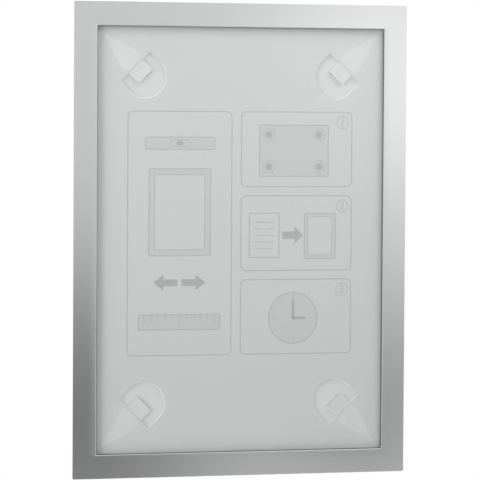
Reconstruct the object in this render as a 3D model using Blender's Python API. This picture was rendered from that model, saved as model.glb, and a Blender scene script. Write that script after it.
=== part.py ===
"""Wall frame for an A4 sheet, held shut by magnets and stuck on with stretch-release strips.

The frame hangs in the XZ plane with +Z up and its front towards -Y. The origin lies on the wall,
behind the middle of the frame. A closed frame is a stack of flat layers: adhesive strips, back
panel, rear magnets, front magnets, window film and border. A film folded along the top edge joins
the cover to the back.
"""
from math import acos, cos, pi, radians, sin

import bpy

MM = 0.001

# Sheet and border
SHEET_WIDTH = 210 * MM
SHEET_HEIGHT = 297 * MM
SHEET_MARGIN = 13 * MM
SHEET_OVERLAP = 3.2 * MM
PANEL_INSET = 0.8 * MM
OUTER_CORNER_RADIUS = 1.0 * MM
INNER_CORNER_RADIUS = 0.6 * MM

# Thickness of each layer, from the wall to the front
STRIP_THICKNESS = 0.9 * MM
PANEL_THICKNESS = 0.5 * MM
REAR_MAGNET_THICKNESS = 1.0 * MM
FRONT_MAGNET_THICKNESS = 1.0 * MM
WINDOW_THICKNESS = 0.25 * MM
BORDER_THICKNESS = 0.5 * MM
GLUE_LINE = 0.1 * MM
CLOSING_GAP = 0.3 * MM

# Magnets, whose front set shows as a narrow lip inside the border
EDGE_INSET = 1.0 * MM
POCKET_CLEARANCE = 0.5 * MM
MAGNET_LIP = 0.5 * MM
MAGNET_END_GAP = 0.4 * MM

# Folded hinge film along the top edge
HINGE_LEAF_HEIGHT = 4.0 * MM
HINGE_FILM_THICKNESS = 0.3 * MM
HINGE_TOP_INSET = 0.1 * MM
HINGE_MAGNET_GAP = 0.4 * MM

# Finger holes, measured along the 45 degree line from each corner of the sheet
HOLE_INSET = 30.4 * MM
HOLE_RADIUS = 14.5 * MM
HOLE_STRAIGHT = 9.9 * MM

# Stretch-release strips and their grip tabs
STRIP_LENGTH = 30.5 * MM
STRIP_HALF_WIDTH = 7.6 * MM
STRIP_SHOULDER = 6.5 * MM
STRIP_TIP_RADIUS = 0.5 * MM
STRIP_SETBACK = 1.5 * MM
TAB_WIDTH = 13.6 * MM
TAB_REACH = 10.4 * MM
TAB_CORNER_RADIUS = 1.2 * MM
TAB_WALL_GAP = 0.15 * MM
TAB_STRIP_GAP = 0.3 * MM

ARC_STEPS = 6
HOLE_ARC_STEPS = 24

FRAME_WIDTH = SHEET_WIDTH + 2 * SHEET_MARGIN
FRAME_HEIGHT = SHEET_HEIGHT + 2 * SHEET_MARGIN
OPENING_WIDTH = SHEET_WIDTH - 2 * SHEET_OVERLAP
OPENING_HEIGHT = SHEET_HEIGHT - 2 * SHEET_OVERLAP

# Distance of each layer's rear face from the wall
PANEL_REAR = STRIP_THICKNESS + GLUE_LINE
REAR_MAGNET_REAR = PANEL_REAR + PANEL_THICKNESS + GLUE_LINE
REAR_MAGNET_FRONT = REAR_MAGNET_REAR + REAR_MAGNET_THICKNESS
FRONT_MAGNET_REAR = REAR_MAGNET_FRONT + CLOSING_GAP
WINDOW_REAR = FRONT_MAGNET_REAR + FRONT_MAGNET_THICKNESS + GLUE_LINE
BORDER_REAR = WINDOW_REAR + WINDOW_THICKNESS + GLUE_LINE

# The film's fold fills the space between the panel and the window. Its hinge line lies above the
# fold by half the length of the fold, so that the film is straight with the cover folded right up.
FOLD_OUTER_RADIUS = (WINDOW_REAR - GLUE_LINE - REAR_MAGNET_REAR) / 2
FOLD_INNER_RADIUS = FOLD_OUTER_RADIUS - HINGE_FILM_THICKNESS
FOLD_DEPTH = REAR_MAGNET_REAR + FOLD_OUTER_RADIUS
FOLD_HEIGHT = FRAME_HEIGHT / 2 - HINGE_TOP_INSET - FOLD_OUTER_RADIUS
HINGE_HEIGHT = FOLD_HEIGHT + pi / 2 * (FOLD_OUTER_RADIUS + FOLD_INNER_RADIUS) / 2
HINGE_LEAF_END = FOLD_HEIGHT - HINGE_LEAF_HEIGHT

# Names and signs of the corners in X and Z, and the way their tabs are pulled, towards the middle
CORNERS = {
    "top_left": (-1, 1, radians(-45)),
    "top_right": (1, 1, radians(-135)),
    "bottom_left": (-1, -1, radians(45)),
    "bottom_right": (1, -1, radians(135)),
}
FACING_FRONT = radians(90)


def new_collection(name):
    collection = bpy.data.collections.new(name)
    bpy.context.scene.collection.children.link(collection)
    return collection


def new_material(name, colour, roughness, metallic=0.0, alpha=1.0):
    material = bpy.data.materials.new(name)
    material.use_nodes = True
    shader = material.node_tree.nodes["Principled BSDF"]
    shader.inputs["Base Color"].default_value = (*colour, 1.0)
    shader.inputs["Roughness"].default_value = roughness
    shader.inputs["Metallic"].default_value = metallic
    shader.inputs["Alpha"].default_value = alpha
    material.diffuse_color = (*colour, alpha)
    return material


def new_empty(name, location, rotation=(0, 0, 0)):
    empty = bpy.data.objects.new(name, None)
    empty.empty_display_size = 10 * MM
    empty.location = location
    empty.rotation_euler = rotation
    parts.objects.link(empty)
    return empty


def arc(centre, radius, start, end, steps=ARC_STEPS):
    points = []
    for step in range(steps + 1):
        angle = start + (end - start) * step / steps
        points.append((centre[0] + radius * cos(angle), centre[1] + radius * sin(angle)))
    return points


def rounded_rectangle(width, height, radius):
    points = []
    for quarter, (side, level) in enumerate(((1, 1), (-1, 1), (-1, -1), (1, -1))):
        centre = (side * (width / 2 - radius), level * (height / 2 - radius))
        points += arc(centre, radius, quarter * pi / 2, (quarter + 1) * pi / 2)
    return points


def mirrored(upper_side):
    """Close an outline that runs along +X by its mirror image across that line."""
    return upper_side + [(along, -across) for along, across in reversed(upper_side)]


def add_plate(name, outlines, thickness, material, parent, location, rotation):
    """Flat plate from an outline and any holes in it, centred on its location."""
    curve = bpy.data.curves.new(name, "CURVE")
    curve.dimensions = "2D"
    curve.fill_mode = "BOTH"
    curve.extrude = thickness / 2
    for outline in outlines:
        spline = curve.splines.new("POLY")
        spline.points.add(len(outline) - 1)
        for point, (along, across) in zip(spline.points, outline):
            point.co = (along, across, 0, 1)
        spline.use_cyclic_u = True
    curve.materials.append(material)
    plate = bpy.data.objects.new(name, curve)
    plate.parent = parent
    plate.location = location
    plate.rotation_euler = rotation
    parts.objects.link(plate)
    return plate


def add_layer(name, outlines, rear, thickness, material, parent):
    """Plate that faces the front, with its rear face at a distance from the wall."""
    location = (0, -(rear + thickness / 2), 0)
    offset = [place - start for place, start in zip(location, parent.location)]
    return add_plate(name, outlines, thickness, material, parent, offset, (FACING_FRONT, 0, 0))


def add_bar(name, left, right, bottom, top, rear, thickness, material, parent):
    """Straight magnet strip between its edges, with its rear face at a distance from the wall."""
    middle = ((left + right) / 2, -(rear + thickness / 2), (bottom + top) / 2)
    bpy.ops.mesh.primitive_cube_add(size=1, scale=(right - left, thickness, top - bottom))
    bar = bpy.context.object
    bar.name = name
    bar.data.name = name
    bar.data.transform(bar.matrix_basis)
    bar.scale = (1, 1, 1)
    bar.parent = parent
    bar.location = [place - start for place, start in zip(middle, parent.location)]
    bar.data.materials.append(material)
    for collection in list(bar.users_collection):
        collection.objects.unlink(bar)
    parts.objects.link(bar)


def add_magnets(prefix, inner_width, inner_height, rear, thickness, material, parent):
    """Four strips round an inner rectangle: top and bottom run right across, sides fit between."""
    side = FRAME_WIDTH / 2 - EDGE_INSET
    floor = -FRAME_HEIGHT / 2 + EDGE_INSET
    ceiling = HINGE_LEAF_END - HINGE_MAGNET_GAP
    inner_side = inner_width / 2
    inner_level = inner_height / 2
    end = inner_level - MAGNET_END_GAP
    edges = {
        "top": (-side, side, inner_level, ceiling),
        "bottom": (-side, side, floor, -inner_level),
        "left": (-side, -inner_side, -end, end),
        "right": (inner_side, side, -end, end),
    }
    for place, (left, right, bottom, top) in edges.items():
        add_bar(f"{prefix}_{place}", left, right, bottom, top, rear, thickness, material, parent)


def hole_place(side, level):
    """Middle of a finger hole's straight edge, in the plane of the frame."""
    across = side * (SHEET_WIDTH / 2 - HOLE_INSET)
    up = level * (SHEET_HEIGHT / 2 - HOLE_INSET)
    return across, up


def finger_hole(side, level, turn):
    """D-shaped outline in the frame's plane, its straight edge across the 45 degree line."""
    outline = [(0, -HOLE_RADIUS)]
    outline += arc((HOLE_STRAIGHT, 0), HOLE_RADIUS, -pi / 2, pi / 2, HOLE_ARC_STEPS)
    outline += [(0, HOLE_RADIUS)]
    across, up = hole_place(side, level)
    return [
        (across + along * cos(turn) - aside * sin(turn), up + along * sin(turn) + aside * cos(turn))
        for along, aside in outline
    ]


def strip_outline():
    """Teardrop with a flat end by the hole, parallel shoulders and a rounded tip at the corner."""
    tip_run = STRIP_LENGTH - STRIP_TIP_RADIUS - STRIP_SHOULDER
    lean = acos((STRIP_HALF_WIDTH - STRIP_TIP_RADIUS) / tip_run)
    tangent = pi - lean
    upper_side = [(-STRIP_SETBACK, STRIP_HALF_WIDTH)]
    upper_side += arc((-STRIP_SHOULDER, 0), STRIP_HALF_WIDTH, pi / 2, tangent)
    upper_side += arc((-STRIP_SHOULDER - tip_run, 0), STRIP_TIP_RADIUS, tangent, pi)[:-1]
    return mirrored(upper_side)


def tab_outline():
    """Tab that butts on the strip's flat end and has two rounded corners in the hole."""
    start = -STRIP_SETBACK + TAB_STRIP_GAP
    corner = (TAB_REACH - TAB_CORNER_RADIUS, TAB_WIDTH / 2 - TAB_CORNER_RADIUS)
    upper_side = arc(corner, TAB_CORNER_RADIUS, 0, pi / 2) + [(start, TAB_WIDTH / 2)]
    return mirrored(upper_side)


def hinge_outline():
    """Section of the folded film, upright legs towards the wall and the front, fold at the top."""
    fold = (-FOLD_DEPTH, FOLD_HEIGHT)
    outline = [(fold[0] + FOLD_OUTER_RADIUS, HINGE_LEAF_END)]
    outline += arc(fold, FOLD_OUTER_RADIUS, 0, pi, 2 * ARC_STEPS)
    outline += [(fold[0] - FOLD_OUTER_RADIUS, HINGE_LEAF_END)]
    outline += [(fold[0] - FOLD_INNER_RADIUS, HINGE_LEAF_END)]
    outline += arc(fold, FOLD_INNER_RADIUS, pi, 0, 2 * ARC_STEPS)
    outline += [(fold[0] + FOLD_INNER_RADIUS, HINGE_LEAF_END)]
    return outline


for old_object in list(bpy.data.objects):
    bpy.data.objects.remove(old_object, do_unlink=True)
parts = new_collection("magnetic_document_frame")

silver_film = new_material("silver_film", (0.62, 0.62, 0.63), 0.35, metallic=0.85)
clear_film = new_material("clear_film", (0.92, 0.93, 0.93), 0.15, alpha=0.25)
frosted_film = new_material("frosted_film", (0.80, 0.81, 0.81), 0.55)
magnetic_rubber = new_material("magnetic_rubber", (0.05, 0.05, 0.05), 0.7)
hinge_plastic = new_material("hinge_plastic", (0.70, 0.71, 0.72), 0.4)
white_adhesive = new_material("white_adhesive", (0.85, 0.85, 0.83), 0.6)
tab_film = new_material("tab_film", (0.88, 0.88, 0.88), 0.45)

back = new_empty("back_root", (0, 0, 0))
cover = new_empty("cover_hinge", (0, -FOLD_DEPTH, HINGE_HEIGHT))

# Back: panel with its finger holes, and the magnets round the sheet
panel_outline = rounded_rectangle(
    FRAME_WIDTH - 2 * PANEL_INSET, FRAME_HEIGHT - 2 * PANEL_INSET, OUTER_CORNER_RADIUS
)
panel_outlines = [panel_outline] + [finger_hole(*corner) for corner in CORNERS.values()]
add_layer("back_panel", panel_outlines, PANEL_REAR, PANEL_THICKNESS, frosted_film, back)
add_magnets(
    "rear_magnet",
    SHEET_WIDTH + 2 * POCKET_CLEARANCE,
    SHEET_HEIGHT + 2 * POCKET_CLEARANCE,
    REAR_MAGNET_REAR,
    REAR_MAGNET_THICKNESS,
    magnetic_rubber,
    back,
)

# Cover: magnets that lap over the sheet's edge, the window and the border on it
frame_outline = rounded_rectangle(FRAME_WIDTH, FRAME_HEIGHT, OUTER_CORNER_RADIUS)
add_magnets(
    "front_magnet",
    OPENING_WIDTH - 2 * MAGNET_LIP,
    OPENING_HEIGHT - 2 * MAGNET_LIP,
    FRONT_MAGNET_REAR,
    FRONT_MAGNET_THICKNESS,
    magnetic_rubber,
    cover,
)
add_layer("window_film", [frame_outline], WINDOW_REAR, WINDOW_THICKNESS, clear_film, cover)
border_outlines = [
    frame_outline,
    rounded_rectangle(OPENING_WIDTH, OPENING_HEIGHT, INNER_CORNER_RADIUS),
]
add_layer("front_border", border_outlines, BORDER_REAR, BORDER_THICKNESS, silver_film, cover)

# Hinge: film folded over the top edge, between the panel and the window
hinge_length = FRAME_WIDTH - 2 * EDGE_INSET
hinge_turn = (radians(90), 0, radians(90))
add_plate("hinge_film", [hinge_outline()], hinge_length, hinge_plastic, back, (0, 0, 0), hinge_turn)

# Corners: each strip and tab lies along its own 45 degree line, from the hole's straight edge
for corner_name, (side, level, turn) in CORNERS.items():
    across, up = hole_place(side, level)
    pull = new_empty(f"pull_{corner_name}", (across, 0, up), (FACING_FRONT, -turn, 0))
    add_plate(
        f"adhesive_strip_{corner_name}",
        [strip_outline()],
        STRIP_THICKNESS,
        white_adhesive,
        pull,
        (0, 0, STRIP_THICKNESS / 2),
        (0, 0, 0),
    )
    tab_thickness = STRIP_THICKNESS - TAB_WALL_GAP
    add_plate(
        f"grip_tab_{corner_name}",
        [tab_outline()],
        tab_thickness,
        tab_film,
        pull,
        (0, 0, TAB_WALL_GAP + tab_thickness / 2),
        (0, 0, 0),
    )
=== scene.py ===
"""Looks of a wall frame for an A4 sheet, held shut by magnets and stuck on with stretch-release strips."""

import math

import bmesh
import bpy
from mathutils import Matrix, Vector


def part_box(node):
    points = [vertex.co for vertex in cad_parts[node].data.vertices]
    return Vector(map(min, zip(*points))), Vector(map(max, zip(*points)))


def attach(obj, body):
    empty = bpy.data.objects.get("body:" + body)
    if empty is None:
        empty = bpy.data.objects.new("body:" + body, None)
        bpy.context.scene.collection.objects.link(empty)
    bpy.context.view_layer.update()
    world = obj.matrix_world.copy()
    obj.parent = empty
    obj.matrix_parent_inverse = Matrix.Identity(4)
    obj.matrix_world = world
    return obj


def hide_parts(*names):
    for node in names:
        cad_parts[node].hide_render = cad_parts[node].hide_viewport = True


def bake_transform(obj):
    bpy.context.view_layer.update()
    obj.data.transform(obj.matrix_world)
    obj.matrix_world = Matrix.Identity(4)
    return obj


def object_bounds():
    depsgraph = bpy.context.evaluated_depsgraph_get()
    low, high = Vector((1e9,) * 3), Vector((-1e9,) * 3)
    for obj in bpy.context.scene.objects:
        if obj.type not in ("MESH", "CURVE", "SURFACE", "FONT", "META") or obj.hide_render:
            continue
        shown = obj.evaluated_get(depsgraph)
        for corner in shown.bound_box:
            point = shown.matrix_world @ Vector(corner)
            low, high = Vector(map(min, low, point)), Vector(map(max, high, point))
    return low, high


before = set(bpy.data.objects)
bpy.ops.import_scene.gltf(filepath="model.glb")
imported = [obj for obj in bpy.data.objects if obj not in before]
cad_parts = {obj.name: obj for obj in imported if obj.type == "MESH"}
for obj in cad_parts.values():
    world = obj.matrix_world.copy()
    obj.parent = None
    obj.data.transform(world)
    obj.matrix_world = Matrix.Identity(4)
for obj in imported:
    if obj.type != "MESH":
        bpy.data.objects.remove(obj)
cad_box = [list(corner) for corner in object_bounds()]
scene = bpy.context.scene


# Camera
# The photograph is taken with a long lens, from a little to the left of the frame and slightly above it.
# Lens, distance and angles are worked out from the four corners of the border in the photograph.
LENS_MM = 238.63
CAMERA_DISTANCE = 2.1753
CAMERA_AIM_X = -0.0012
CAMERA_TURN = math.radians(-16.057)
CAMERA_RISE = math.radians(2.2614)
CAMERA_ROLL = math.radians(0.3532)
border_low, border_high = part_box("front_border")
camera_target = Vector((CAMERA_AIM_X, border_low.y, 0.0))
backward = Vector((
    math.sin(CAMERA_TURN) * math.cos(CAMERA_RISE),
    -math.cos(CAMERA_TURN) * math.cos(CAMERA_RISE),
    math.sin(CAMERA_RISE),
))
sideways = Vector((0, 0, 1)).cross(backward).normalized()
upward = backward.cross(sideways)
camera_axes = Matrix((sideways, upward, backward)).transposed() @ Matrix.Rotation(CAMERA_ROLL, 3, "Z")
camera_data = bpy.data.cameras.new("camera")
camera_data.lens = LENS_MM
camera = bpy.data.objects.new("camera", camera_data)
camera.matrix_world = Matrix.Translation(camera_target + backward * CAMERA_DISTANCE) @ camera_axes.to_4x4()
scene.collection.objects.link(camera)
scene.camera = camera
scene.view_settings.view_transform = "Standard"


# Adhesive strips
# Four teardrops of white stretch-release foam hold the frame on the wall, with their points in its corners.
# They are die cut from sheet, and each is drawn out along the wall by the tab on its flat end.
MM = 0.001
# The way each corner's tab is pulled, towards the middle of the frame.
PULLS = {
    "top_left": Vector((1, 0, -1)).normalized(),
    "top_right": Vector((-1, 0, -1)).normalized(),
    "bottom_left": Vector((1, 0, 1)).normalized(),
    "bottom_right": Vector((-1, 0, 1)).normalized(),
}
MERGE_DISTANCE = 0.001 * MM
CUT_TOLERANCE = 0.0001 * MM
SHARP_ANGLE = math.radians(60)
FLAT_ANGLE = math.radians(1)
STRIP_EDGE_RADIUS = 0.12 * MM
STRIP_CUTS = 14
FOAM_CELL = 0.5 * MM
FOAM_CELL_DEPTH = 0.04 * MM


def linear(srgb_hex):
    """Linear colour of an sRGB hex value."""
    channels = [int(srgb_hex[place:place + 2], 16) / 255 for place in (1, 3, 5)]
    return [c / 12.92 if c <= 0.04045 else ((c + 0.055) / 1.055) ** 2.4 for c in channels] + [1.0]


def add_node(tree, kind, inputs=None, **settings):
    """New node with its settings, and its inputs set to a value or linked to another node's output."""
    node = tree.nodes.new(kind)
    for setting, value in settings.items():
        setattr(node, setting, value)
    for socket, value in (inputs or {}).items():
        if isinstance(value, bpy.types.NodeSocket):
            tree.links.new(value, node.inputs[socket])
        else:
            node.inputs[socket].default_value = value
    return node


def new_material(name):
    """Material with an empty node tree."""
    material = bpy.data.materials.new(name)
    material.use_nodes = True
    material.node_tree.nodes.clear()
    return material, material.node_tree


def set_surface(tree, shader):
    """End a material's tree with its surface."""
    add_node(tree, "ShaderNodeOutputMaterial", {"Surface": shader.outputs[0]})


def speckle(tree, size, pale, dark, depth):
    """Colour, bump and pattern of a fine even grain of one size."""
    place = add_node(tree, "ShaderNodeTexCoord")
    grain = add_node(
        tree, "ShaderNodeTexNoise", {"Vector": place.outputs["Object"], "Scale": 1 / size, "Detail": 2.0}
    )
    tone = add_node(
        tree, "ShaderNodeMapRange", {"Value": grain.outputs["Fac"], "From Min": 0.3, "From Max": 0.7}
    )
    colour = add_node(tree, "ShaderNodeMix", {
        "Factor": tone.outputs[0], "A": linear(dark), "B": linear(pale),
    }, data_type="RGBA")
    bump = add_node(
        tree, "ShaderNodeBump", {"Height": grain.outputs["Fac"], "Strength": 1.0, "Distance": depth}
    )
    return colour.outputs["Result"], bump.outputs["Normal"], grain.outputs["Fac"]


def grained(name, size, pale, dark, depth, finish):
    """Material with one fine grain and a plain finish."""
    material, tree = new_material(name)
    colour, normal, _ = speckle(tree, size, pale, dark, depth)
    set_surface(tree, add_node(tree, "ShaderNodeBsdfPrincipled", {
        "Base Color": colour, "Normal": normal, **finish,
    }))
    return material


def plate_copy(node):
    """Copy of a CAD plate, with its loose triangles joined up into whole faces."""
    plate = bmesh.new()
    plate.from_mesh(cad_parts[node].data)
    bmesh.ops.remove_doubles(plate, verts=plate.verts, dist=MERGE_DISTANCE)
    bmesh.ops.dissolve_limit(
        plate, angle_limit=FLAT_ANGLE, verts=plate.verts, edges=plate.edges, use_dissolve_boundaries=False
    )
    return plate


def is_sharp(edge):
    """Whether an edge is one where a plate's face meets its cut edge."""
    return edge.is_manifold and edge.calc_face_angle() > SHARP_ANGLE


def round_off(plate, edges, radius, segments):
    """Round some edges of a plate."""
    bmesh.ops.bevel(
        plate, geom=edges, offset=radius, affect="EDGES", segments=segments, profile=0.5, material=-1
    )


def round_rims(plate, radius):
    """Round every sharp edge of a plate."""
    round_off(plate, [edge for edge in plate.edges if is_sharp(edge)], radius, segments=2)


def cut_across(plate, way, start, end, count):
    """Cut a plate into even lengths between two places along a direction, so that it can bend."""
    for cut in range(count + 1):
        everything = plate.verts[:] + plate.edges[:] + plate.faces[:]
        place = way * (start + (end - start) * cut / count)
        bmesh.ops.bisect_plane(plate, geom=everything, dist=CUT_TOLERANCE, plane_co=place, plane_no=way)


def add_piece(name, shape, material):
    """Object of a finished shape, with its material."""
    mesh = bpy.data.meshes.new(name)
    shape.to_mesh(mesh)
    shape.free()
    mesh.materials.append(material)
    piece = bpy.data.objects.new(name, mesh)
    scene.collection.objects.link(piece)
    return piece


# Closed-cell acrylic foam, slit and die cut: matt, soft white, with a fine grain of cut cells.
foam = grained(
    "stretch_release_foam", FOAM_CELL, "#F1F1ED", "#E2E3DE", FOAM_CELL_DEPTH,
    {"Roughness": 0.62, "IOR": 1.47},
)
for corner, pull in PULLS.items():
    strip = plate_copy(f"adhesive_strip_{corner}")
    strip_point = min(vert.co.dot(pull) for vert in strip.verts)
    strip_end = max(vert.co.dot(pull) for vert in strip.verts)
    round_rims(strip, STRIP_EDGE_RADIUS)
    cut_across(strip, pull, strip_point, strip_end, STRIP_CUTS)
    strip_piece = add_piece(f"foam_strip_{corner}", strip, foam)
    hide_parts(f"adhesive_strip_{corner}")
    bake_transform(strip_piece)


# Grip tabs
# A dry white film tab is laminated to each strip's flat end and shows in the panel's finger hole.
# It is die cut with its free end on a slant, steps up flush with the panel and curls a little off the wall.
TAB_EDGE_RADIUS = 0.15 * MM
TAB_SLANT_LENGTH = 0.55 * MM
TAB_SLANT_DEPTH = 0.45 * MM
TAB_UNDER_PANEL = 1.22 * MM
TAB_STEP = 0.55 * MM
TAB_STEP_LENGTH = 0.06 * MM
TAB_STEP_CUTS = 3
TAB_CURL = 0.3 * MM
TAB_CURL_LENGTH = 8.0 * MM
TAB_CURL_CUTS = 8
TAB_GRAIN = 0.7 * MM
TAB_GRAIN_DEPTH = 0.01 * MM
# A face belongs to the sheet, and not to its cut edge, when its normal has at least this share along Y.
NEARLY_FLAT = 0.9

# Opaque polypropylene film with a satin face: clean white with a faint calendered mottle.
tab_film = grained(
    "white_polypropylene_film", TAB_GRAIN, "#E4E6E5", "#DEE0DF", TAB_GRAIN_DEPTH,
    {"Roughness": 0.42, "IOR": 1.49},
)
# Along its cut edges, and on the slant of its free end, the tab is painted grey: a painted shadow line round
# its edges.
tab_shadow_edge = grained(
    "tab_edge_painted_shadow", TAB_GRAIN, "#A4A6A5", "#989A99", TAB_GRAIN_DEPTH, {"Roughness": 0.6, "IOR": 1.49}
)
for corner, pull in PULLS.items():
    tab = plate_copy(f"grip_tab_{corner}")
    tab_root = min(vert.co.dot(pull) for vert in tab.verts)
    tab_tip = max(vert.co.dot(pull) for vert in tab.verts)
    tab_front = Vector((0, min(vert.co.y for vert in tab.verts), 0))
    slant = bmesh.ops.bisect_plane(
        tab, geom=tab.verts[:] + tab.edges[:] + tab.faces[:], dist=CUT_TOLERANCE,
        plane_co=pull * (tab_tip - TAB_SLANT_LENGTH) + tab_front,
        plane_no=pull * TAB_SLANT_DEPTH + Vector((0, -TAB_SLANT_LENGTH, 0)),
        clear_outer=True,
    )
    slant_edges = [part for part in slant["geom_cut"] if isinstance(part, bmesh.types.BMEdge)]
    bmesh.ops.holes_fill(tab, edges=slant_edges)
    round_rims(tab, TAB_EDGE_RADIUS)
    step_start = tab_root + TAB_UNDER_PANEL
    curl_start = tab_tip - TAB_CURL_LENGTH
    cut_across(tab, pull, step_start, step_start + TAB_STEP_LENGTH, TAB_STEP_CUTS)
    cut_across(tab, pull, curl_start, tab_tip - TAB_SLANT_LENGTH, TAB_CURL_CUTS)
    tab.normal_update()
    for face in tab.faces:
        face.material_index = 0 if abs(face.normal.y) > NEARLY_FLAT else 1
    for vert in tab.verts:
        along = vert.co.dot(pull)
        stepped = min(1.0, max(0.0, along - step_start) / TAB_STEP_LENGTH)
        curled = max(0.0, along - curl_start) / TAB_CURL_LENGTH
        vert.co.y -= TAB_STEP * stepped ** 2 * (3 - 2 * stepped) + TAB_CURL * curled ** 2
    tab_piece = add_piece(f"pull_tab_{corner}", tab, tab_film)
    tab_piece.data.materials.append(tab_shadow_edge)
    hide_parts(f"grip_tab_{corner}")
    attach(tab_piece, f"tab_{corner}")


# Back panel
# A sheet of frosted polypropylene closes the back of the frame, with a D-shaped finger hole in each corner.
# It is die cut in one piece, and where the strips are stuck behind it the film looks a little paler.
PANEL_EDGE_RADIUS = 0.1 * MM
PANEL_GRAIN = 0.9 * MM
PANEL_GRAIN_DEPTH = 0.006 * MM
PANEL_CUT_DEPTH = 0.004 * MM
HOLE_EDGE_RADIUS = 0.36 * MM
HOLE_LONG_SIDE = 15 * MM
HOLE_RIM_REACH = 5 * MM
HOLE_CHORD_X = 74.6 * MM
HOLE_CHORD_Z = 118.1 * MM
BOND_HALF_WIDTH = 7.6 * MM
BOND_SHOULDER = 6.5 * MM
BOND_SETBACK = 1.5 * MM
BOND_TAPER = math.radians(72.4)
BOND_SOFT = 0.12 * MM
BAND_START_X = 105.5 * MM
BAND_START_Z = 149.0 * MM
BAND_SOFT = 0.8 * MM
QUITE_FLAT = 0.99


def opening_rims(plate, high, reach, depth):
    """Sharp front edges round the openings in a plate, further in than a reach from its outline."""
    return [
        edge for edge in plate.edges
        if is_sharp(edge)
        and all(vert.co.y < high.y - depth for vert in edge.verts)
        and all(abs(vert.co.x) < high.x - reach for vert in edge.verts)
        and all(abs(vert.co.z) < high.z - reach for vert in edge.verts)
    ]


# Extruded film with one frosted face: translucent grey-white, with a grain that scatters every highlight.
frosted, frosted_tree = new_material("frosted_polypropylene")
frosted_colour, frosted_normal, _ = speckle(
    frosted_tree, PANEL_GRAIN, "#DADDDC", "#D6D9D8", PANEL_GRAIN_DEPTH
)
frosted_place = add_node(frosted_tree, "ShaderNodeTexCoord")
folded_place = add_node(
    frosted_tree, "ShaderNodeVectorMath", {0: frosted_place.outputs["Object"]}, operation="ABSOLUTE"
)
# One corner stands for all four: X then runs from the middle of the hole's straight edge to the corner.
diagonal = math.sqrt(0.5)
corner_place = add_node(frosted_tree, "ShaderNodeMapping", {
    "Vector": folded_place.outputs[0],
    "Rotation": (0, math.radians(45), 0),
    "Location": (-diagonal * (HOLE_CHORD_X + HOLE_CHORD_Z), 0, -diagonal * (HOLE_CHORD_Z - HOLE_CHORD_X)),
})
corner_parts = add_node(frosted_tree, "ShaderNodeSeparateXYZ", {0: corner_place.outputs[0]})
outward = corner_parts.outputs["X"]
aside = add_node(
    frosted_tree, "ShaderNodeMath", {0: corner_parts.outputs["Z"]}, operation="ABSOLUTE"
).outputs[0]
taper_start = add_node(frosted_tree, "ShaderNodeMath", {
    0: outward, 1: math.cos(BOND_TAPER), 2: -BOND_HALF_WIDTH - BOND_SHOULDER * math.cos(BOND_TAPER),
}, operation="MULTIPLY_ADD")
past_taper = add_node(frosted_tree, "ShaderNodeMath", {
    0: aside, 1: math.sin(BOND_TAPER), 2: taper_start.outputs[0],
}, operation="MULTIPLY_ADD")
past_side = add_node(frosted_tree, "ShaderNodeMath", {0: aside, 1: BOND_HALF_WIDTH}, operation="SUBTRACT")
past_end = add_node(frosted_tree, "ShaderNodeMath", {0: BOND_SETBACK, 1: outward}, operation="SUBTRACT")
past_edge = add_node(
    frosted_tree, "ShaderNodeMath", {0: past_taper.outputs[0], 1: past_side.outputs[0]}, operation="MAXIMUM"
)
past_bond = add_node(
    frosted_tree, "ShaderNodeMath", {0: past_edge.outputs[0], 1: past_end.outputs[0]}, operation="MAXIMUM"
)
bonded = add_node(frosted_tree, "ShaderNodeMapRange", {
    "Value": past_bond.outputs[0], "From Min": BOND_SOFT, "From Max": -BOND_SOFT,
}, interpolation_type="SMOOTHSTEP")
bonded_colour = add_node(frosted_tree, "ShaderNodeMix", {
    "Factor": bonded.outputs[0], "A": frosted_colour, "B": linear("#E1E4E3"),
}, data_type="RGBA")
# Round the edge the panel is painted a soft grey band. Under the magnets it is the dark rubber seen through
# the film. Its soft edge just inside them is painted shade in the corner they make with the panel.
folded_parts = add_node(frosted_tree, "ShaderNodeSeparateXYZ", {0: folded_place.outputs[0]})
past_band_x = add_node(
    frosted_tree, "ShaderNodeMath", {0: folded_parts.outputs["X"], 1: BAND_START_X}, operation="SUBTRACT"
)
past_band_z = add_node(
    frosted_tree, "ShaderNodeMath", {0: folded_parts.outputs["Z"], 1: BAND_START_Z}, operation="SUBTRACT"
)
past_band = add_node(frosted_tree, "ShaderNodeMath", {
    0: past_band_x.outputs[0], 1: past_band_z.outputs[0],
}, operation="MAXIMUM")
magnet_band_and_shade = add_node(frosted_tree, "ShaderNodeMapRange", {
    "Value": past_band.outputs[0], "From Min": -BAND_SOFT, "From Max": BAND_SOFT,
}, interpolation_type="SMOOTHSTEP")
panel_colour = add_node(frosted_tree, "ShaderNodeMix", {
    "Factor": magnet_band_and_shade.outputs[0], "A": bonded_colour.outputs["Result"], "B": linear("#B3B6B6"),
}, data_type="RGBA")
set_surface(frosted_tree, add_node(frosted_tree, "ShaderNodeBsdfPrincipled", {
    "Base Color": panel_colour.outputs["Result"], "Normal": frosted_normal, "Roughness": 0.55, "IOR": 1.49,
}))
# Where it is cut, the film is painted paler than its face: a painted highlight along the rims of its holes
# and its outline.
cut_edge_highlight = grained(
    "polypropylene_edge_painted_highlight", PANEL_GRAIN, "#ECEEED", "#E3E5E4", PANEL_CUT_DEPTH,
    {"Roughness": 0.3, "IOR": 1.49},
)
panel = plate_copy("back_panel")
panel_low, panel_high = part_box("back_panel")
hole_rims = opening_rims(panel, panel_high, HOLE_RIM_REACH, PANEL_EDGE_RADIUS)
# The punch rolls a hole's edge over all round, but leaves its one long straight side crisp.
bent_rims = [edge for edge in hole_rims if edge.calc_length() < HOLE_LONG_SIDE]
round_off(panel, bent_rims, HOLE_EDGE_RADIUS, segments=3)
round_rims(panel, PANEL_EDGE_RADIUS)
for face in panel.faces:
    face.material_index = 0 if abs(face.normal.y) > QUITE_FLAT else 1
panel_piece = add_piece("frosted_panel", panel, frosted)
panel_piece.data.materials.append(cut_edge_highlight)
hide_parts("back_panel")
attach(panel_piece, "back")


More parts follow.
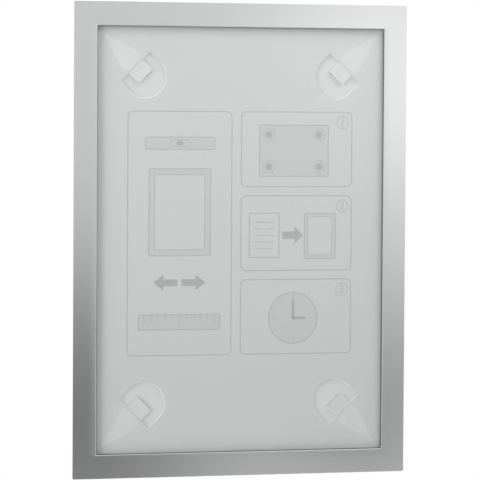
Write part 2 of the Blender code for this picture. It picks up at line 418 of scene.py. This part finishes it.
# Mounting guide
# Faint grey pictures are screen printed on the front of the panel, in pale tints, lines and darker fills.
# They show the fitting in steps: set it level, press the corners, slide the sheet in, and wait.
# They are drawn in millimetres from the middle of the panel, and each layer is scaled when it is laid on.
TINT_THICKNESS = 0.018 * MM
INK_THICKNESS = 0.025 * MM
INK_BED = 0.010 * MM
INK_GRAIN = 0.8 * MM
INK_GRAIN_DEPTH = 0.004 * MM
LINE = 0.75
THIN_LINE = 0.6
TILE_RADIUS = 4.0
GUIDE_Z = 4.5
guide_tints = bmesh.new()
guide_lines = bmesh.new()
guide_fills = bmesh.new()


def ink_box(width, height, radius=0.0, line=0.0):
    """Rounded rectangle of ink about the origin, filled in or drawn as an outline of a line's width."""
    box = bmesh.new()
    bmesh.ops.create_grid(box, x_segments=1, y_segments=1, size=0.5)
    bmesh.ops.scale(box, vec=(width, height, 1), verts=box.verts)
    if radius:
        bmesh.ops.bevel(
            box, geom=box.verts[:], offset=radius, affect="VERTICES", segments=6, profile=0.5, material=-1
        )
    if line:
        middle = box.faces[:]
        bmesh.ops.inset_region(box, faces=middle, thickness=line, use_boundary=True, use_even_offset=True)
        bmesh.ops.delete(box, geom=middle, context="FACES")
    return box


def ink_arrow(length, width):
    """Block arrow of ink about the origin, pointing along X, drawn in shares of its length and width."""
    neck = 0.08
    shaft = 0.21
    outline = (
        (-0.5, -shaft), (neck, -shaft), (neck, -0.5), (0.5, 0), (neck, 0.5), (neck, shaft), (-0.5, shaft),
    )
    arrow = bmesh.new()
    arrow.faces.new([arrow.verts.new((along * length, across * width, 0)) for along, across in outline])
    return arrow


def ink_digit(digit, height):
    """Printed step number about the origin."""
    writing = bpy.data.curves.new("step_number", "FONT")
    writing.body = digit
    writing.size = height
    writing.align_x = "CENTER"
    writing.align_y = "CENTER"
    holder = bpy.data.objects.new("step_number", writing)
    scene.collection.objects.link(holder)
    bpy.context.view_layer.update()
    outline = bpy.data.meshes.new_from_object(holder)
    number = bmesh.new()
    number.from_mesh(outline)
    bmesh.ops.remove_doubles(number, verts=number.verts, dist=MERGE_DISTANCE / MM)
    bpy.data.objects.remove(holder)
    bpy.data.curves.remove(writing)
    bpy.data.meshes.remove(outline)
    return number


def stamp(layer, motif, across, up, turn=0):
    """Set a motif at its place in a print layer, turned by some degrees."""
    motif.transform(Matrix.Translation((across, up, 0)) @ Matrix.Rotation(math.radians(turn), 4, "Z"))
    scrap = bpy.data.meshes.new("motif")
    motif.to_mesh(scrap)
    motif.free()
    layer.from_mesh(scrap)
    bpy.data.meshes.remove(scrap)


def draw_tinted(width, height, radius, across, up):
    """Outlined box with a tint inside it."""
    stamp(guide_tints, ink_box(width, height, radius), across, up)
    stamp(guide_lines, ink_box(width, height, radius, LINE), across, up)


def draw_frame(width, height, bar, across, up):
    """The frame itself: two outlines, with a tint between them that stops just short of the outer one."""
    short = 0.2
    stamp(guide_tints, ink_box(width - 2 * short, height - 2 * short, line=bar - short), across, up)
    stamp(guide_lines, ink_box(width, height, radius=1, line=LINE), across, up)
    stamp(guide_lines, ink_box(width - 2 * bar, height - 2 * bar, radius=0.6, line=THIN_LINE), across, up)


def draw_ring(across, up):
    """Thin ring round a spot or a step number."""
    stamp(guide_lines, ink_box(9, 9, 4.4, THIN_LINE), across, up)


# Setting it level, in one tall tile: a spirit level over the frame, an arrow each way, and a ruler.
level_x = -43
bubble_z = 66
frame_z = 19
arrow_z = -29
arrow_apart = 10
ruler_z = -56
ruler_mark_top = -51.2
ruler_mark_gap = 5
stamp(guide_lines, ink_box(74, 167, TILE_RADIUS, LINE), level_x, GUIDE_Z)
draw_tinted(50, 9, 2, level_x, bubble_z)
stamp(guide_lines, ink_box(15, 5, 2.4, THIN_LINE), level_x, bubble_z)
stamp(guide_fills, ink_box(5, 3, 1.4), level_x, bubble_z)
draw_frame(44, 60, 4, level_x, frame_z)
stamp(guide_fills, ink_arrow(17, 11), level_x + arrow_apart, arrow_z)
stamp(guide_fills, ink_arrow(17, 11), level_x - arrow_apart, arrow_z, turn=180)
draw_tinted(58, 11, 1, level_x, ruler_z)
for mark in range(-5, 6):
    mark_length = 6 if mark % 5 == 0 else 3.5
    mark_z = ruler_mark_top - mark_length / 2
    stamp(guide_lines, ink_box(THIN_LINE, mark_length), level_x + mark * ruler_mark_gap, mark_z)

# The other steps stand in a column of three tiles, each with its number in the upper right corner.
column_x = 40
tile_rise = 57.5
number_x = 73
number_rise = 18.5
for number, tile_z in (("1", GUIDE_Z + tile_rise), ("2", GUIDE_Z), ("3", GUIDE_Z - tile_rise)):
    stamp(guide_lines, ink_box(80, 52, TILE_RADIUS, LINE), column_x, tile_z)
    draw_ring(number_x, tile_z + number_rise)
    stamp(guide_lines, ink_digit(number, 8), number_x, tile_z + number_rise)

# Pressing the corners: the frame lying down, with a ring and a spot at each corner.
press_x = 38
press_z = 61
draw_tinted(50, 36, 1, press_x, press_z)
for spot_x in (press_x - 18, press_x + 18):
    for spot_z in (press_z - 11, press_z + 11):
        stamp(guide_fills, ink_box(5, 5, 2.45), spot_x, spot_z)
        draw_ring(spot_x, spot_z)

# Sliding the sheet in: a lined sheet, an arrow and the frame.
sheet_x = 17
sheet_z = 3
arrow_x = 37.5
frame_x = 57
frame_z = 2.5
stamp(guide_lines, ink_box(22, 31, 1, LINE), sheet_x, sheet_z)
for row in (9, 4.5, 0, -4.5, -9):
    stamp(guide_lines, ink_box(14, THIN_LINE), sheet_x, sheet_z + row)
stamp(guide_fills, ink_arrow(15, 12), arrow_x, sheet_z)
draw_frame(23, 32, 2.5, frame_x, frame_z)

# Waiting: a clock face with its hands a quarter apart.
clock_x = 38
clock_z = -54
quarter_mark_radius = 14.5
draw_tinted(36, 36, 17.9, clock_x, clock_z)
for quarter in range(4):
    turn = math.radians(90 * quarter)
    mark_x = clock_x + quarter_mark_radius * math.sin(turn)
    mark_z = clock_z + quarter_mark_radius * math.cos(turn)
    stamp(guide_lines, ink_box(LINE, 3), mark_x, mark_z, -90 * quarter)
stamp(guide_fills, ink_box(1.8, 13, 0.8), clock_x, clock_z + 6)
stamp(guide_fills, ink_box(10, 1.8, 0.8), clock_x + 4.4, clock_z)

for name, layer, thickness, pale, dark in (
    ("guide_tint_print", guide_tints, TINT_THICKNESS, "#D2D5D4", "#CED1D0"),
    ("guide_line_print", guide_lines, INK_THICKNESS, "#BFC2C1", "#B8BBBA"),
    ("guide_arrow_print", guide_fills, INK_THICKNESS, "#B7B9B9", "#AFB1B1"),
):
    # Matt screen ink, thin enough for the film's grain to show through as a slight unevenness.
    ink = grained(
        f"screen_ink_{name}", INK_GRAIN, pale, dark, INK_GRAIN_DEPTH, {"Roughness": 0.6, "IOR": 1.5}
    )
    bmesh.ops.scale(layer, vec=(MM, MM, MM), verts=layer.verts)
    bmesh.ops.solidify(layer, geom=layer.faces[:], thickness=thickness)
    bmesh.ops.recalc_face_normals(layer, faces=layer.faces)
    lowest = min(vert.co.z for vert in layer.verts)
    layer.transform(
        Matrix.Translation((0, panel_low.y + INK_BED, 0)) @ Matrix.Rotation(math.radians(90), 4, "X")
        @ Matrix.Translation((0, 0, -lowest))
    )
    print_piece = add_piece(name, layer, ink)
    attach(print_piece, "back")


# Rear magnets
# Strips of flexible magnetic rubber are stuck round the edge of the panel and leave a pocket for the sheet.
# They are cut square from an extruded band, top and bottom right across and the sides between them.
MAGNET_EDGE_RADIUS = 0.12 * MM
RUBBER_LINE = 1.2 * MM
RUBBER_LINE_DEPTH = 0.02 * MM
RUBBER_GRAIN = 0.6 * MM
RUBBER_GRAIN_DEPTH = 0.01 * MM


def magnetic_rubber(name, across):
    """Ferrite-filled rubber band: dull charcoal, with fine lines that the die draws along its length."""
    material, tree = new_material(name)
    colour, normal, _ = speckle(tree, RUBBER_GRAIN, "#4A4B4D", "#3E3F41", RUBBER_GRAIN_DEPTH)
    place = add_node(tree, "ShaderNodeTexCoord")
    lines = add_node(
        tree, "ShaderNodeTexWave",
        {"Vector": place.outputs["Object"], "Scale": math.pi / 10 / RUBBER_LINE, "Distortion": 0.6},
        bands_direction=across,
    )
    ridges = add_node(tree, "ShaderNodeBump", {
        "Height": lines.outputs["Fac"], "Normal": normal, "Strength": 1.0, "Distance": RUBBER_LINE_DEPTH,
    })
    set_surface(tree, add_node(tree, "ShaderNodeBsdfPrincipled", {
        "Base Color": colour, "Normal": ridges.outputs["Normal"], "Roughness": 0.68, "IOR": 1.52,
    }))
    return material


def add_magnets(layer, body):
    """Four bars round the frame in one layer, with their cut edges eased."""
    for place in ("top", "bottom", "left", "right"):
        bar = plate_copy(f"{layer}_magnet_{place}")
        round_rims(bar, MAGNET_EDGE_RADIUS)
        rubber = level_rubber if place in ("top", "bottom") else upright_rubber
        bar_piece = add_piece(f"{layer}_rubber_bar_{place}", bar, rubber)
        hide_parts(f"{layer}_magnet_{place}")
        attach(bar_piece, body)


level_rubber = magnetic_rubber("magnetic_rubber_level", "Z")
upright_rubber = magnetic_rubber("magnetic_rubber_upright", "X")
add_magnets("rear", "back")


# Hinge film
# A folded polypropylene film along the top edge joins the cover to the back panel.
# Its leaves are glued behind the window and in front of the panel, and the fold bends as the cover lifts.
HINGE_GRAIN = 1.0 * MM
HINGE_GRAIN_DEPTH = 0.008 * MM

# Grey polypropylene film, bent hot: satin, slightly waxy and a little mottled.
hinge_plastic = grained(
    "grey_polypropylene_hinge", HINGE_GRAIN, "#B4B6B7", "#ABADAE", HINGE_GRAIN_DEPTH,
    {"Roughness": 0.4, "IOR": 1.49},
)
hinge_piece = add_piece("folded_hinge", plate_copy("hinge_film"), hinge_plastic)
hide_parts("hinge_film")
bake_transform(hinge_piece)


# Front magnets
# A second set of rubber strips is stuck behind the window, under the border, facing the first.
# The two sets hold the cover shut, and the front set's edge is the dark line inside the border.
add_magnets("front", "cover")


# Window
# A clear low-glare polyester film covers the sheet and carries the border.
# It is die cut to the frame's size and glued to the magnets all round.
WINDOW_GRAIN = 1.5 * MM
WINDOW_HAZE = 0.03
HEAD_ON_GLOSS = 0.04
GRAZING_POWER = 5.0
WHITE = (1, 1, 1, 1)

# Polyester film with a fine anti-glare coat: nearly clear, slightly milky, with broad soft reflections.
# Its gloss rises towards grazing angles in the same way on both faces.
clear_film, clear_tree = new_material("low_glare_polyester")
clear_place = add_node(clear_tree, "ShaderNodeTexCoord")
clear_grain = add_node(clear_tree, "ShaderNodeTexNoise", {
    "Vector": clear_place.outputs["Object"], "Scale": 1 / WINDOW_GRAIN, "Detail": 2.0,
})
clear_rough = add_node(clear_tree, "ShaderNodeMapRange", {
    "Value": clear_grain.outputs["Fac"], "To Min": 0.2, "To Max": 0.3,
})
clear_through = add_node(clear_tree, "ShaderNodeBsdfTransparent", {"Color": WHITE})
clear_milk = add_node(clear_tree, "ShaderNodeBsdfDiffuse", {"Color": linear("#EEF0EF")})
clear_body = add_node(clear_tree, "ShaderNodeMixShader", {
    0: WINDOW_HAZE, 1: clear_through.outputs[0], 2: clear_milk.outputs[0],
})
clear_shine = add_node(clear_tree, "ShaderNodeBsdfGlossy", {
    "Color": WHITE, "Roughness": clear_rough.outputs[0],
})
clear_facing = add_node(clear_tree, "ShaderNodeLayerWeight", {"Blend": 0.5})
clear_grazing = add_node(
    clear_tree, "ShaderNodeMath", {0: clear_facing.outputs["Facing"], 1: GRAZING_POWER}, operation="POWER"
)
clear_gloss = add_node(clear_tree, "ShaderNodeMapRange", {
    "Value": clear_grazing.outputs[0], "To Min": HEAD_ON_GLOSS, "To Max": 1.0,
})
set_surface(clear_tree, add_node(clear_tree, "ShaderNodeMixShader", {
    0: clear_gloss.outputs[0], 1: clear_body.outputs[0], 2: clear_shine.outputs[0],
}))
window_piece = add_piece("clear_window", plate_copy("window_film"), clear_film)
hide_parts("window_film")
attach(window_piece, "cover")


# Border
# A ring of silver-faced plastic film is glued on the window and hides the magnets and the sheet's edge.
# It is die cut in one piece, with crisp corners, and leans back a little towards the opening.
BORDER_EDGE_RADIUS = 0.1 * MM
BORDER_INNER_RADIUS = 0.36 * MM
BORDER_LEAN = 0.16 * MM
BORDER_LEAN_WIDTH = 6.5 * MM
BORDER_LEAN_CUTS = 6
OPENING_RIM_REACH = 10 * MM
SILVER_FLAKE = 0.6 * MM
SILVER_FLAKE_DEPTH = 0.0008 * MM

# Vacuum-metallised film under matt lacquer: satin silver, with the room's light on it as a soft gradient.
# The real flake is far finer and is drawn this coarse so that it shows.
silver, silver_tree = new_material("satin_silver_film")
silver_colour, silver_normal, silver_grain = speckle(
    silver_tree, SILVER_FLAKE, "#DEE0E0", "#DADCDC", SILVER_FLAKE_DEPTH
)
silver_rough = add_node(silver_tree, "ShaderNodeMapRange", {
    "Value": silver_grain, "To Min": 0.2, "To Max": 0.28,
})
set_surface(silver_tree, add_node(silver_tree, "ShaderNodeBsdfPrincipled", {
    "Base Color": silver_colour, "Normal": silver_normal,
    "Roughness": silver_rough.outputs[0], "Metallic": 1.0,
}))
# Round the opening the punch turns the film over a little, and there it is painted a brighter silver: a
# painted highlight along its inner edge.
silver_rim_highlight = grained(
    "silver_rim_painted_highlight", SILVER_FLAKE, "#F4F5F5", "#EEEFEF", SILVER_FLAKE_DEPTH,
    {"Roughness": 0.35, "Metallic": 1.0},
)
border = plate_copy("front_border")
opening_rim = opening_rims(border, border_high, OPENING_RIM_REACH, BORDER_EDGE_RADIUS)
round_off(border, opening_rim, BORDER_INNER_RADIUS, segments=3)
round_rims(border, BORDER_EDGE_RADIUS)
for face in border.faces:
    middle = face.calc_center_median()
    inside_x = abs(middle.x) < border_high.x - OPENING_RIM_REACH
    inside_z = abs(middle.z) < border_high.z - OPENING_RIM_REACH
    face.material_index = 1 if inside_x and inside_z and abs(face.normal.y) < NEARLY_FLAT else 0
opening_x = min(abs(vert.co.x) for vert in border.verts)
opening_z = min(abs(vert.co.z) for vert in border.verts)
for way in (1, -1):
    cut_across(border, Vector((way, 0, 0)), opening_x, opening_x + BORDER_LEAN_WIDTH, BORDER_LEAN_CUTS)
for way in (1, -1):
    cut_across(border, Vector((0, 0, way)), opening_z, opening_z + BORDER_LEAN_WIDTH, BORDER_LEAN_CUTS)
for vert in border.verts:
    from_opening = math.hypot(max(0.0, abs(vert.co.x) - opening_x), max(0.0, abs(vert.co.z) - opening_z))
    lean = max(0.0, 1 - from_opening / BORDER_LEAN_WIDTH) ** 2
    vert.co.y += BORDER_LEAN * lean * (border_high.y - vert.co.y) / (border_high.y - border_low.y)
border.normal_update()
for face in border.faces:
    face.smooth = face.normal.y < -QUITE_FLAT
border_piece = add_piece("silver_border", border, silver)
border_piece.data.materials.append(silver_rim_highlight)
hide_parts("front_border")
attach(border_piece, "cover")


# Stage
# A pale floor well below the frame, a white room, and a white card as the piece of wall behind the holes.
# A large card in front is what the silver reflects, and soft lamps stand round the frame.
FLOOR_SIZE = 12
FLOOR_DROP = 1.3
ROOM_LIGHT = 0.22
WALL_GAP = 0.02 * MM
WALL_INSET = 4 * MM
WALL_GLOW = 0.2


def add_stage_sheet(name, width, height, place, material):
    """Flat stage piece that faces up before it is placed."""
    sheet = bmesh.new()
    bmesh.ops.create_grid(sheet, x_segments=1, y_segments=1, size=0.5)
    bmesh.ops.scale(sheet, vec=(width, height, 1), verts=sheet.verts)
    mesh = bpy.data.meshes.new(name)
    sheet.to_mesh(mesh)
    sheet.free()
    mesh.materials.append(material)
    piece = bpy.data.objects.new(name, mesh)
    piece.matrix_world = place
    scene.collection.objects.link(piece)
    return piece


def white_to_eye(tree):
    """Share of a surface or room that shows as plain white: to the camera, in gloss and through glass."""
    path = add_node(tree, "ShaderNodeLightPath")
    seen = add_node(tree, "ShaderNodeMath", {
        0: path.outputs["Is Camera Ray"], 1: path.outputs["Is Glossy Ray"],
    }, operation="MAXIMUM")
    return add_node(tree, "ShaderNodeMath", {
        0: seen.outputs[0], 1: path.outputs["Is Transmission Ray"],
    }, operation="MAXIMUM").outputs[0]


world = bpy.data.worlds.new("white_room")
world.use_nodes = True
world.node_tree.nodes.clear()
room_strength = add_node(world.node_tree, "ShaderNodeMapRange", {
    "Value": white_to_eye(world.node_tree), "To Min": ROOM_LIGHT, "To Max": 1.0,
})
room = add_node(world.node_tree, "ShaderNodeBackground", {
    "Color": WHITE, "Strength": room_strength.outputs[0],
})
add_node(world.node_tree, "ShaderNodeOutputWorld", {"Surface": room.outputs[0]})
scene.world = world

# Painted floor, white to the eye so that it runs into the room.
floor_paint, floor_tree = new_material("pale_floor_paint")
floor_matt = add_node(floor_tree, "ShaderNodeBsdfPrincipled", {
    "Base Color": linear("#E6E6E6"), "Roughness": 0.8,
})
floor_white = add_node(floor_tree, "ShaderNodeEmission", {"Color": WHITE, "Strength": 1.0})
set_surface(floor_tree, add_node(floor_tree, "ShaderNodeMixShader", {
    0: white_to_eye(floor_tree), 1: floor_matt.outputs[0], 2: floor_white.outputs[0],
}))
add_stage_sheet("floor", FLOOR_SIZE, FLOOR_SIZE, Matrix.Translation((0, 0, -FLOOR_DROP)), floor_paint)

# Wall paint seen through the holes, evened out by a little glow.
# From behind it is clear, so that the frame's back stays in view.
wall_paint, wall_tree = new_material("white_wall_paint")
wall_matt = add_node(wall_tree, "ShaderNodeBsdfPrincipled", {
    "Base Color": linear("#BEC1C0"), "Roughness": 0.8,
    "Emission Color": linear("#FBFDFC"), "Emission Strength": WALL_GLOW,
})
wall_clear = add_node(wall_tree, "ShaderNodeBsdfTransparent")
wall_side = add_node(wall_tree, "ShaderNodeNewGeometry")
set_surface(wall_tree, add_node(wall_tree, "ShaderNodeMixShader", {
    0: wall_side.outputs["Backfacing"], 1: wall_matt.outputs[0], 2: wall_clear.outputs[0],
}))
upright = Matrix.Rotation(math.radians(90), 4, "X")
wall = add_stage_sheet(
    "wall_card",
    cad_box[1][0] - cad_box[0][0] - 2 * WALL_INSET,
    cad_box[1][2] - cad_box[0][2] - 2 * WALL_INSET,
    Matrix.Translation((0, cad_box[1][1] + WALL_GAP, 0)) @ upright,
    wall_paint,
)
wall.visible_shadow = False
wall.visible_diffuse = False
wall.visible_glossy = False

# Light card that only gloss shows, of one even level with a bright spot at the upper right and two dark ones
# below. Each spot has its place on the card, its radius, and what it adds to the level in its core.
CARD_PLACE = Vector((0.248, -0.87, -0.035))
CARD_SIZE = 1.8
CARD_LEVEL = 0.78
SPOT_CORE = 0.5
CARD_SPOTS = (
    (0.16, 0.165, 0.15, 0.65),
    (-0.18, -0.18, 0.2, -0.76),
    (0.135, -0.165, 0.12, -0.72),
)
glow, glow_tree = new_material("dimmed_light_card")
glow_place = add_node(glow_tree, "ShaderNodeTexCoord")
glow_level = CARD_LEVEL
for across, up, radius, strength in CARD_SPOTS:
    apart = add_node(glow_tree, "ShaderNodeVectorMath", {
        0: glow_place.outputs["Object"], 1: (across, up, 0),
    }, operation="DISTANCE")
    spot = add_node(glow_tree, "ShaderNodeMapRange", {
        "Value": apart.outputs["Value"],
        "From Min": radius, "From Max": SPOT_CORE * radius, "To Max": strength,
    }, interpolation_type="SMOOTHSTEP")
    glow_level = add_node(glow_tree, "ShaderNodeMath", {0: glow_level, 1: spot.outputs[0]}).outputs[0]
set_surface(glow_tree, add_node(glow_tree, "ShaderNodeEmission", {"Color": WHITE, "Strength": glow_level}))
card = add_stage_sheet("light_card", CARD_SIZE, CARD_SIZE, Matrix.Translation(CARD_PLACE) @ upright, glow)
card.visible_camera = False
card.visible_diffuse = False
card.visible_shadow = False
card.visible_transmission = False

# Four soft lamps stand round the frame, well to the side, so that its layers shade each other.
# Each has its way across and up, its distance in metres, its power in watts and its width.
# One more lights the back from behind.
LAMP_SLANT = math.radians(68)
BACK_LAMP_WAY = Vector((0.4, 3, 0.8))


def add_lamp(name, way, distance, power, size):
    """Square soft lamp that faces the middle of the frame and doesn't show in gloss."""
    lamp_data = bpy.data.lights.new(name, "AREA")
    lamp_data.energy = power
    lamp_data.size = size
    lamp = bpy.data.objects.new(name, lamp_data)
    facing = way.to_track_quat("Z", "Y").to_matrix().to_4x4()
    lamp.matrix_world = Matrix.Translation(way * distance) @ facing
    lamp.visible_camera = False
    lamp.visible_glossy = False
    scene.collection.objects.link(lamp)


for name, across, up, distance, power, size in (
    ("left_lamp", -1, 0.1, 1.8, 28.0, 0.8),
    ("right_lamp", 1, 1.4, 0.9, 5.2, 0.6),
    ("top_lamp", 0, 1, 1.0, 2.6, 0.6),
    ("low_lamp", -0.5, -1, 1.3, 3.4, 0.7),
):
    around = Vector((across, 0, up)).normalized()
    slanted = around * math.sin(LAMP_SLANT) + Vector((0, -math.cos(LAMP_SLANT), 0))
    add_lamp(name, slanted, distance, power, size)
add_lamp("back_lamp", BACK_LAMP_WAY.normalized(), distance=1.6, power=18.0, size=1.2)
